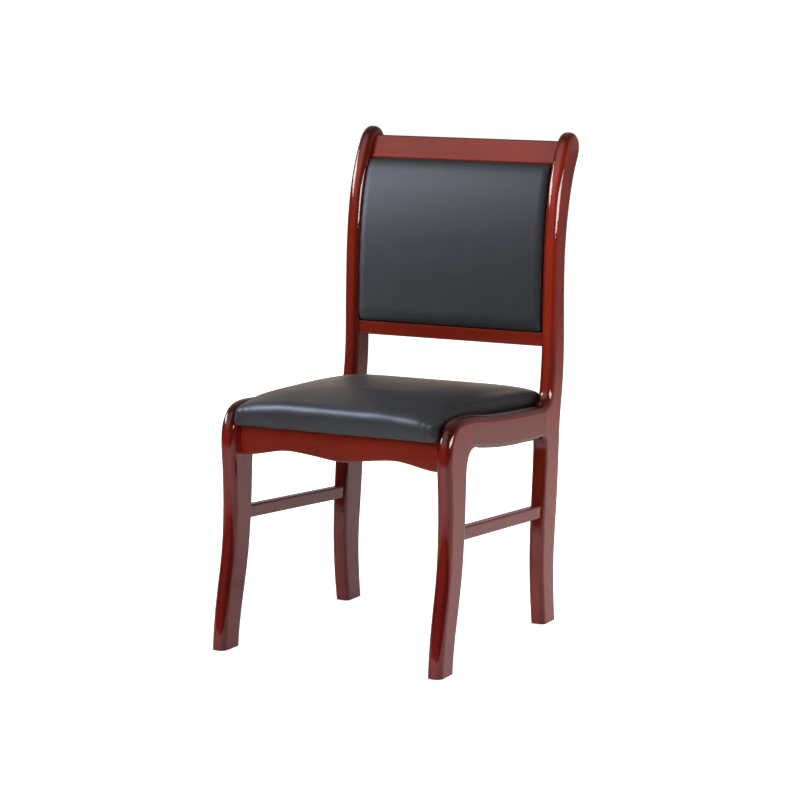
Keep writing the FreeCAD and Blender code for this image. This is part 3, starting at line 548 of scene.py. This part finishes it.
def wrinkle(piece, low, high, look):  # soft folds over the front edge and small pleats at its corners
    normals = [vertex.normal.copy() for vertex in piece.data.vertices]
    for vertex, normal in zip(piece.data.vertices, normals):
        x, y, z = vertex.co / mm
        front = min(max(1 - (y - low.y / mm) / look["foldDepth"], 0), 1)
        along = (x + look["foldSlant"] * y) / look["foldWidth"]
        fold = noise.noise(Vector((along, y / look["foldRun"], z / look["foldRise"])))
        corner = Vector((high.x / mm - abs(x), y - low.y / mm)).length / look["cornerReach"]
        drift = look["pleatBend"] * noise.noise(vertex.co / (look["pleatDrift"] * mm))
        pleat = math.sin(2 * math.pi * (abs(x) - y) / look["pleatWidth"] + drift)
        out = look["fold"] * front * (0.5 + 0.5 * fold)
        out += look["pleat"] * math.exp(-corner * corner) * (0.5 + 0.5 * pleat)
        vertex.co += normal * out * mm


def upholster(piece):
    for polygon in piece.data.polygons:
        polygon.use_smooth = True
    piece.modifiers.new("smooth", "SUBSURF").levels = 1
    piece.modifiers["smooth"].render_levels = 1
    bake(piece)
    piece.data.materials.clear()
    piece.data.materials.append(leatherette)
    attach(piece, "root")


def edgeLines(length, roll, count):  # grid lines that lie close together where an edge rolls over
    near = [roll * share for share in (0, 0.08, 0.25, 0.55, 1)]
    between = [roll + (length - 2 * roll) * number / count for number in range(1, count)]
    return near + between + [length - line for line in reversed(near)]


def layeredFaces(columns, rows):  # two grids, upper first, closed round the rim
    upper = [(row * columns + column, row * columns + column + 1, (row + 1) * columns + column + 1,
              (row + 1) * columns + column) for row in range(rows - 1) for column in range(columns - 1)]
    offset = columns * rows
    lower = [tuple(corner + offset for corner in reversed(face)) for face in upper]
    rim = list(range(columns))
    rim += [row * columns + columns - 1 for row in range(1, rows)]
    rim += [(rows - 1) * columns + column for column in range(columns - 2, -1, -1)]
    rim += [row * columns for row in range(rows - 2, 0, -1)]
    sides = [(point, point + offset, after + offset, after) for point, after in zip(rim, rim[1:] + rim[:1])]
    return upper + lower + sides


# Seat cushion
cushionLook = {
    "voxel": 4, "rounds": 1, "fill": 0.85, "foot": 8,
    "pressure": 4, "frames": 20, "evening": 30, "wrinkles": 0.35,
    "cap": ((-0.6, -2.0, -1.0), (0.6, 0.4, 5.0)),   # mm, how far a point may move each way
    "lift": 8, "cornerPull": 120, "rearPull": 260, "liftFrom": 34,   # mm
    "belly": 5, "bellyHeight": 56, "bellyDepth": 40,   # mm, how far the front swells out
    "rollDepth": 70, "rollRounds": 22,   # mm, where the front edge is rounded off
    "walls": ("side_rail", "front_leg", "rear_upright"),
    "sideFacing": 0.3, "sideReach": 20, "sideClear": 1.2, "sideSwell": 7, "sideEvening": 6,   # mm
    "fold": 2.4, "foldWidth": 42, "foldRun": 90, "foldRise": 60, "foldDepth": 120, "foldSlant": 0.4,   # mm
    "pleat": 1.3, "pleatWidth": 17, "pleatDrift": 30, "pleatBend": 4, "cornerReach": 34,   # mm
}
seatLow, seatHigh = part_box("seat_cover")
cushion = skinOf("seat_cushion", ["seat_cover", "seat_foam", "seat_board"], cushionLook["voxel"])
relax(cushion, cushionLook["rounds"])
seatSkin = outside("seat_cover")
keepFull(cushion, seatSkin)
seatFoot = seatLow.z + cushionLook["foot"] * mm
inflate(cushion, lambda point: 1.0 if point.z < seatFoot else 0.0, cushionLook)
keepFull(cushion, seatSkin)
plump(cushion, seatLow, seatHigh, cushionLook)
rollEnd = seatLow.y + cushionLook["rollDepth"] * mm
relax(cushion, cushionLook["rollRounds"], lambda point: point.y < rollEnd and point.z > seatFoot)
keepFull(cushion, seatSkin)
fillSides(cushion, seatFoot - cushionLook["foot"] / 2 * mm, cushionLook)
wrinkle(cushion, seatLow, seatHigh, cushionLook)
upholster(cushion)
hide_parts("seat_cover", "seat_foam")
print("seat cushion: %d faces" % len(cushion.data.polygons))

# Back pad
padLook = {
    "voxel": 4, "rounds": 1, "fill": 0.8, "rim": 5,
    "pressure": 4, "frames": 20, "evening": 40, "wrinkles": 0.1,
    "cap": ((-0.3, -3.0, -0.3), (0.3, 0.4, 0.3)),   # mm, how far a point may move each way
}
pad = skinOf("back_pad", ["back_cover", "back_foam"], padLook["voxel"])
relax(pad, padLook["rounds"])
padSkin = outside("back_cover")
keepFull(pad, padSkin)
boardTree = treeOf("back_board")
padRim = padLook["rim"] * mm
inflate(pad, lambda point: 1.0 if boardTree.find_nearest(point)[3] < padRim else 0.0, padLook)
keepFull(pad, padSkin)
upholster(pad)
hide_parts("back_cover", "back_foam")
print("back pad: %d faces" % len(pad.data.polygons))

# Rear skin of the back, a thin wadded panel with rolled edges
rearLook = {"roll": 9, "crown": 3, "columns": 30, "rows": 28, "ends": 2.5, "fill": 0.5}   # mm
panelTree = treeOf("back_rear_panel")
panelLow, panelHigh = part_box("back_rear_panel")
far = 2.0   # metres, well clear of the panel
roll = rearLook["roll"] * mm
bottom = panelLow.z + rearLook["ends"] * mm
height = panelHigh.z - panelLow.z - 2 * rearLook["ends"] * mm
lifts = edgeLines(height, roll, rearLook["rows"])
inner = []
outer = []
for lift in lifts:
    level = bottom + lift
    front = panelTree.ray_cast(Vector((0, -far, level)), Vector((0, 1, 0)))[0].y
    rear = panelTree.ray_cast(Vector((0, far, level)), Vector((0, -1, 0)))[0].y
    above = panelTree.ray_cast(Vector((0, -far, level + mm)), Vector((0, 1, 0)))[0].y
    side = panelTree.ray_cast(Vector((-far, (front + rear) / 2, level)), Vector((1, 0, 0)))[0].x
    lean = (above - front) / mm
    away = Vector((0, 1, -lean)).normalized()
    for across in edgeLines(-2 * side, roll, rearLook["columns"]):
        edge = min(across, -2 * side - across, lift, height - lift)
        rise = math.sqrt(1 - (1 - min(edge / roll, 1)) ** 2)
        swell = math.sin(math.pi * across / (-2 * side)) * math.sin(math.pi * lift / height)
        thick = (rear - front) * away.y * rise + rearLook["crown"] * mm * math.sqrt(max(swell, 0))
        foot = Vector((side + across, front, level))
        inner.append(foot)
        outer.append(foot + away * thick)
rearSkin = meshObject("back_rear_skin", outer + inner, layeredFaces(len(outer) // len(lifts), len(lifts)))
upholster(rearSkin)
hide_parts("back_rear_panel")
print("rear skin: %d faces" % len(rearSkin.data.polygons))

# Dust cloth under the seat, stapled to the board
dustLook = {
    "thick": 0.4, "clear": 0.3, "sag": 3.5, "columns": 40, "rows": 42,   # mm
    "flatRim": 1.5,   # over 1 keeps the rim flat
    "ripple": 0.12, "ripples": 6, "rippleSeed": 0.4,   # share of the sag, and how many
}
dustPoints = [vertex.co for vertex in nodes["seat_dust_cover"].data.vertices]
dustLow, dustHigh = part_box("seat_dust_cover")
frontHalf = max(point.x for point in dustPoints if point.y < dustLow.y + mm)
rearHalf = max(point.x for point in dustPoints if point.y > dustHigh.y - mm)
dustDepth = dustHigh.y - dustLow.y
ripples = dustLook["ripples"]
upper = []
for row in range(dustLook["rows"]):
    back = row / (dustLook["rows"] - 1)
    half = frontHalf + (rearHalf - frontHalf) * back
    for column in range(dustLook["columns"]):
        across = column / (dustLook["columns"] - 1)
        bay = (4 * back * (1 - back) * 4 * across * (1 - across)) ** dustLook["flatRim"]
        ripple = noise.noise(Vector((across * ripples, back * ripples, dustLook["rippleSeed"])))
        drop = (dustLook["clear"] + dustLook["sag"] * bay * (1 + dustLook["ripple"] * ripple)) * mm
        upper.append(Vector((half * (2 * across - 1), dustLow.y + dustDepth * back, dustHigh.z - drop)))
lower = [point - Vector((0, 0, dustLook["thick"] * mm)) for point in upper]
cloth = meshObject("seat_dust_cloth", upper + lower, layeredFaces(dustLook["columns"], dustLook["rows"]))
for polygon in cloth.data.polygons:
    polygon.use_smooth = True
cloth.data.materials.append(dustCloth)
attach(cloth, "root")
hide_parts("seat_dust_cover")
print("dust cloth: %.1f by %.1f mm" % (2 * frontHalf / mm, dustDepth / mm))

# Staples, crowns of flat wire along the sides and the rear of the dust cloth
stapleLook = {"crown": 10, "leg": 3, "wire": 0.6, "width": 1.3, "pitch": 42, "inset": 6,
              "front": 82, "rear": 45, "corner": 48}   # mm; front, rear and corner keep clear of the blocks
spots = []
along = dustLow.y + stapleLook["front"] * mm
while along < dustHigh.y - stapleLook["rear"] * mm:
    half = frontHalf + (rearHalf - frontHalf) * (along - dustLow.y) / dustDepth - stapleLook["inset"] * mm
    spots += [(Vector((-half, along)), True), (Vector((half, along)), True)]
    along += stapleLook["pitch"] * mm
across = stapleLook["corner"] * mm - rearHalf
while across < rearHalf - stapleLook["corner"] * mm:
    spots.append((Vector((across, dustHigh.y - stapleLook["inset"] * mm)), False))
    across += stapleLook["pitch"] * mm
halfCrown = stapleLook["crown"] / 2
wire = stapleLook["wire"]
leg = stapleLook["leg"]
outline = [(-halfCrown, leg), (-halfCrown, -wire / 2), (-halfCrown + wire / 2, -wire),
           (halfCrown - wire / 2, -wire), (halfCrown, -wire / 2), (halfCrown, leg),
           (halfCrown - wire, leg), (halfCrown - wire, 0), (wire - halfCrown, 0), (wire - halfCrown, leg)]
clothTree = BVHTree.FromPolygons([vertex.co for vertex in cloth.data.vertices],
                                 [polygon.vertices for polygon in cloth.data.polygons])
staplePoints = []
stapleFaces = []
for spot, lengthwise in spots:
    under = clothTree.ray_cast(Vector((spot.x, spot.y, 0)), Vector((0, 0, 1)))[0].z
    first = len(staplePoints)
    count = len(outline)
    for edge in (-stapleLook["width"] / 2, stapleLook["width"] / 2):
        for run, rise in outline:
            shift = (edge, run) if lengthwise else (run, edge)
            staplePoints.append((spot.x + shift[0] * mm, spot.y + shift[1] * mm, under + rise * mm))
    stapleFaces.append(tuple(range(first, first + count)))
    stapleFaces.append(tuple(range(first + 2 * count - 1, first + count - 1, -1)))
    for number in range(count):
        after = (number + 1) % count
        stapleFaces.append((first + after, first + number, first + count + number, first + count + after))
staples = meshObject("seat_staples", staplePoints, stapleFaces)
shape = bmesh.new()
shape.from_mesh(staples.data)
bmesh.ops.recalc_face_normals(shape, faces=shape.faces)
shape.to_mesh(staples.data)
shape.free()
staples.data.materials.append(zinc)
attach(staples, "root")
print("staples: %d" % len(spots))

# Camera, from the photograph's viewing angle
cameraLook = {"azimuth": 27.58, "elevation": 9.28, "lens": 126.5, "sensor": 36.0,
              "place": (2.47978, -4.75516, 1.33062)}   # degrees, mm, metres
cameraData = bpy.data.cameras.new("camera")
cameraData.lens = cameraLook["lens"]
cameraData.sensor_width = cameraLook["sensor"]
camera = bpy.data.objects.new("camera", cameraData)
camera.location = cameraLook["place"]
camera.rotation_euler = (math.radians(90 - cameraLook["elevation"]), 0, math.radians(cameraLook["azimuth"]))
scene.collection.objects.link(camera)
scene.camera = camera

# White paper floor that ends in front of the chair, beyond which reflections find a dark studio
floorLook = {
    "colour": "#F4F4F4", "mirrored": "#D6D6D6", "darkFloor": "#262626", "roughness": 0.9, "specular": 0.1,
    "half": 12.0, "paperEnd": (-1.5, -2.3),   # metres
    "near": 0.5, "far": 1.5,                  # metres, between which the paper turns as white as the backdrop
    "nearGlow": 0.6, "farGlow": 1.0,
}
half = floorLook["half"]
floorCorners = [(-half, -half, 0), (half, -half, 0), (half, half, 0), (-half, half, 0)]
floor = meshObject("floor", floorCorners, [(0, 1, 2, 3)])
floorPaper, tree = newMaterial("white_paper")
rays = addNode(tree, "ShaderNodeLightPath").outputs
place = addNode(tree, "ShaderNodeTexCoord").outputs["Object"]
distance = addNode(tree, "ShaderNodeVectorMath", {0: place}, operation="LENGTH").outputs["Value"]
glow = addNode(tree, "ShaderNodeMapRange", {"Value": distance, 1: floorLook["near"], 2: floorLook["far"],
                                            3: floorLook["nearGlow"], 4: floorLook["farGlow"]}).outputs[0]
seen = addNode(tree, "ShaderNodeMath", {0: rays["Is Camera Ray"], 1: glow}, operation="MULTIPLY").outputs[0]
depth = addNode(tree, "ShaderNodeSeparateXYZ", {0: place}).outputs["Y"]
paperFrom, paperTo = floorLook["paperEnd"]
past = addNode(tree, "ShaderNodeMapRange", {
    "Value": depth, 1: paperFrom, 2: paperTo, 3: 0.0, 4: 1.0}).outputs[0]
mirrored = addNode(tree, "ShaderNodeMix", {
    0: past, 6: fromHex(floorLook["mirrored"]), 7: fromHex(floorLook["darkFloor"])},
    data_type="RGBA").outputs[2]
colour = addNode(tree, "ShaderNodeMix", {
    0: rays["Is Glossy Ray"], 6: fromHex(floorLook["colour"]), 7: mirrored}, data_type="RGBA").outputs[2]
paper = addNode(tree, "ShaderNodeBsdfPrincipled", {
    "Base Color": colour, "Roughness": floorLook["roughness"], "Specular IOR Level": floorLook["specular"],
    "Emission Color": (1, 1, 1, 1), "Emission Strength": seen})
clear = addNode(tree, "ShaderNodeBsdfTransparent")
below = addNode(tree, "ShaderNodeNewGeometry").outputs["Backfacing"]
finishMaterial(tree, addNode(tree, "ShaderNodeMixShader", {
    0: below, 1: paper.outputs[0], 2: clear.outputs[0]}))
floor.data.materials.append(floorPaper)

# Studio: softboxes round the seat, in metres, watts and degrees. Azimuth 0 is in front, 90 to the right.
# Those that show as colour light the pieces, those that show as gloss are only seen mirrored in them.
studio = {
    "aim": (0, 0, 0.55),
    "softboxes": {
        "key": {"shows": "colour", "on": "all", "azimuth": 8, "elevation": 22, "distance": 2.2,
                "size": (1.0, 0.9), "power": 35},
        "right": {"shows": "colour", "on": "right wood and floor", "azimuth": 97, "elevation": 33,
                  "distance": 3.0, "size": (1.6, 1.2), "power": 74},
        "left": {"shows": "colour", "on": "all", "azimuth": -90, "elevation": 30, "distance": 3.0,
                 "size": (1.6, 1.2), "power": 24},
        "top": {"shows": "colour", "on": "all", "azimuth": 5, "elevation": 76, "distance": 2.3,
                "size": (1.5, 1.0), "power": 8},
        "rear": {"shows": "colour", "on": "all", "azimuth": 180, "elevation": 32, "distance": 3.0,
                 "size": (1.8, 1.4), "power": 34},
        "left_strip": {"shows": "gloss", "on": "wood", "azimuth": -68, "elevation": 26, "distance": 3.0,
                       "size": (2.1, 0.7), "power": 70},
        "right_strip": {"shows": "gloss", "on": "wood", "azimuth": 77, "elevation": 16, "distance": 3.0,
                        "size": (1.9, 0.85), "power": 80},
        "ridge": {"shows": "gloss", "on": "seat", "azimuth": -53, "elevation": 45, "distance": 2.5,
                  "size": (1.5, 1.3), "power": 112, "tint": "#DAE6FF"},
        "gap": {"shows": "gloss", "on": "seat", "azimuth": -153, "elevation": 8, "distance": 3.0,
                "size": (2.0, 1.0), "power": 9, "tint": "#FFE2C4"},
        "sheen": {"shows": "gloss", "on": "back", "azimuth": -42, "elevation": 35, "distance": 3.0,
                  "size": (1.5, 1.0), "power": 40, "tint": "#DCE8FF"},
        "roll": {"shows": "gloss", "on": "back", "azimuth": -63, "elevation": 20, "distance": 3.0,
                 "size": (1.3, 0.9), "power": 60, "tint": "#E4ECFF"},
    },
    "ambient": 0.24, "paleSide": 0.32, "darkSide": 0.04, "paleRange": (-0.3, 0.4),
    "glow": 1.05, "glowAzimuth": -34, "glowElevation": 42, "glowEdge": 0.82,   # a bounce off the ceiling
}
aim = Vector(studio["aim"])
wood = [piece for piece in nodes.values() if piece.data.materials[0] in hardwood.values()]
rightWood = [piece for piece in wood if not piece.name.endswith("_left")]
groups = {"wood": wood, "right wood and floor": rightWood + [floor],
          "seat": [cushion], "back": [pad, rearSkin]}
receivers = {}
for group, pieces in groups.items():
    receivers[group] = bpy.data.collections.new("lit " + group)
    for piece in pieces:
        receivers[group].objects.link(piece)


def bearing(azimuth, elevation):  # degrees to a direction away from the chair
    turn, lift = math.radians(azimuth), math.radians(elevation)
    return Vector((math.sin(turn) * math.cos(lift), -math.cos(turn) * math.cos(lift), math.sin(lift)))


for lampName, lamp in studio["softboxes"].items():
    lampData = bpy.data.lights.new(lampName, "AREA")
    lampData.shape = "RECTANGLE"
    lampData.size, lampData.size_y = lamp["size"]
    lampData.energy = lamp["power"]
    lampData.color = fromHex(lamp.get("tint", "#FFFFFF"))[:3]
    box = bpy.data.objects.new(lampName, lampData)
    away = bearing(lamp["azimuth"], lamp["elevation"])
    box.location = aim + away * lamp["distance"]
    box.rotation_euler = away.to_track_quat("Z", "Y").to_euler()
    box.visible_camera = False
    box.visible_glossy = lamp["shows"] == "gloss"
    box.visible_diffuse = lamp["shows"] == "colour"
    if lamp["on"] in receivers:
        box.light_linking.receiver_collection = receivers[lamp["on"]]
    scene.collection.objects.link(box)

# The world is white to the camera.
# In reflections it is grey behind the chair, and dark in front of it but for a bounce.
world = bpy.data.worlds.new("studio")
scene.world = world
world.use_nodes = True
tree = world.node_tree
tree.nodes.clear()
rays = addNode(tree, "ShaderNodeLightPath").outputs
way = addNode(tree, "ShaderNodeTexCoord").outputs["Generated"]
depth = addNode(tree, "ShaderNodeSeparateXYZ", {0: way}).outputs["Y"]
paleFrom, paleTo = studio["paleRange"]
pale = addNode(tree, "ShaderNodeMapRange", {
    "Value": depth, 1: paleFrom, 2: paleTo, 3: studio["darkSide"], 4: studio["paleSide"]}).outputs[0]
glowWay = bearing(studio["glowAzimuth"], studio["glowElevation"])
nearness = addNode(tree, "ShaderNodeVectorMath", {0: way, 1: glowWay},
                   operation="DOT_PRODUCT").outputs["Value"]
bounce = addNode(tree, "ShaderNodeMapRange", {
    "Value": nearness, 1: studio["glowEdge"], 2: 1.0, 3: 0.0, 4: studio["glow"]},
    interpolation_type="SMOOTHSTEP").outputs[0]
around = addNode(tree, "ShaderNodeMath", {0: pale, 1: bounce}, operation="ADD").outputs[0]
mirrored = addNode(tree, "ShaderNodeMath", {0: rays["Is Glossy Ray"], 1: rays["Is Transmission Ray"]},
                   operation="MAXIMUM").outputs[0]
lightLevel = addNode(tree, "ShaderNodeMix", {0: mirrored, 2: studio["ambient"], 3: around}).outputs[0]
level = addNode(tree, "ShaderNodeMix", {0: rays["Is Camera Ray"], 2: lightLevel, 3: 1.0}).outputs[0]
backdrop = addNode(tree, "ShaderNodeBackground", {"Color": (1, 1, 1, 1), "Strength": level})
addNode(tree, "ShaderNodeOutputWorld", {"Surface": backdrop.outputs[0]})

scene.view_settings.view_transform = "Standard"
print("studio: %d softboxes" % len(studio["softboxes"]))
